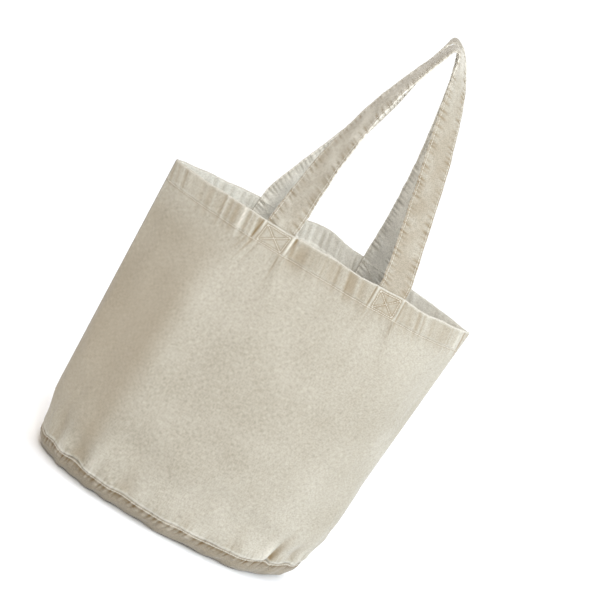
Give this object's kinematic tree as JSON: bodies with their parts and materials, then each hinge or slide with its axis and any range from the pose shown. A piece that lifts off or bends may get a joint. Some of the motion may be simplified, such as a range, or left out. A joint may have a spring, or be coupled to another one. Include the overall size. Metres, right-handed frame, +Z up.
{
  "type": "canvas tote bag",
  "caption": "Soft open-top shopping bag of washed canvas on an oval base, with a turned hem and webbing carrying handles sewn inside the rim.",
  "frame": {"origin": "centre of the underside, on the surface the bag stands on", "axes": "+Z up through the handles, -Y towards the front panel, +X to the right seen from the front"},
  "size_m": [0.4098, 0.1672, 0.6813],
  "materials": {
    "canvas": "washed cotton canvas, natural stone colour, plain weave, matt",
    "base_canvas": "washed cotton canvas of the base, matt",
    "strap_canvas": "folded and topstitched cotton canvas webbing, worn paler along its edges",
    "seam_allowance": "two raw layers of canvas inside the bag",
    "sewing_thread": "cotton core-spun sewing thread",
    "overlock_thread": "soft overlock thread"
  },
  "bodies": {
    "bag": {"front_panel": "canvas", "back_panel": "canvas", "base_panel": "base_canvas", "left_side_seam": "seam_allowance", "right_side_seam": "seam_allowance", "base_seam": "seam_allowance", "front_handle_left_end": "strap_canvas", "front_handle_right_end": "strap_canvas", "back_handle_left_end": "strap_canvas", "back_handle_right_end": "strap_canvas", "front_hem_stitching": "sewing_thread", "back_hem_stitching": "sewing_thread", "base_seam_stitching": "sewing_thread", "front_left_box_stitching": "sewing_thread", "front_right_box_stitching": "sewing_thread", "back_left_box_stitching": "sewing_thread", "back_right_box_stitching": "sewing_thread", "left_side_overlock": "overlock_thread", "right_side_overlock": "overlock_thread", "base_overlock": "overlock_thread"},
    "front_handle": {"front_handle": "strap_canvas", "front_handle_stitching": "sewing_thread"},
    "back_handle": {"back_handle": "strap_canvas", "back_handle_stitching": "sewing_thread"}
  },
  "joints": [
    {"name": "front_handle_swing", "type": "hinge", "parent": "bag", "child": "front_handle", "pos_m": [0, -0.069, 0.3975], "axis": [1, 0, 0], "range_deg": [0, 130]},
    {"name": "back_handle_swing", "type": "hinge", "parent": "bag", "child": "back_handle", "pos_m": [0, 0.0557, 0.3975], "axis": [-1, 0, 0], "range_deg": [0, 130]}
  ]
}
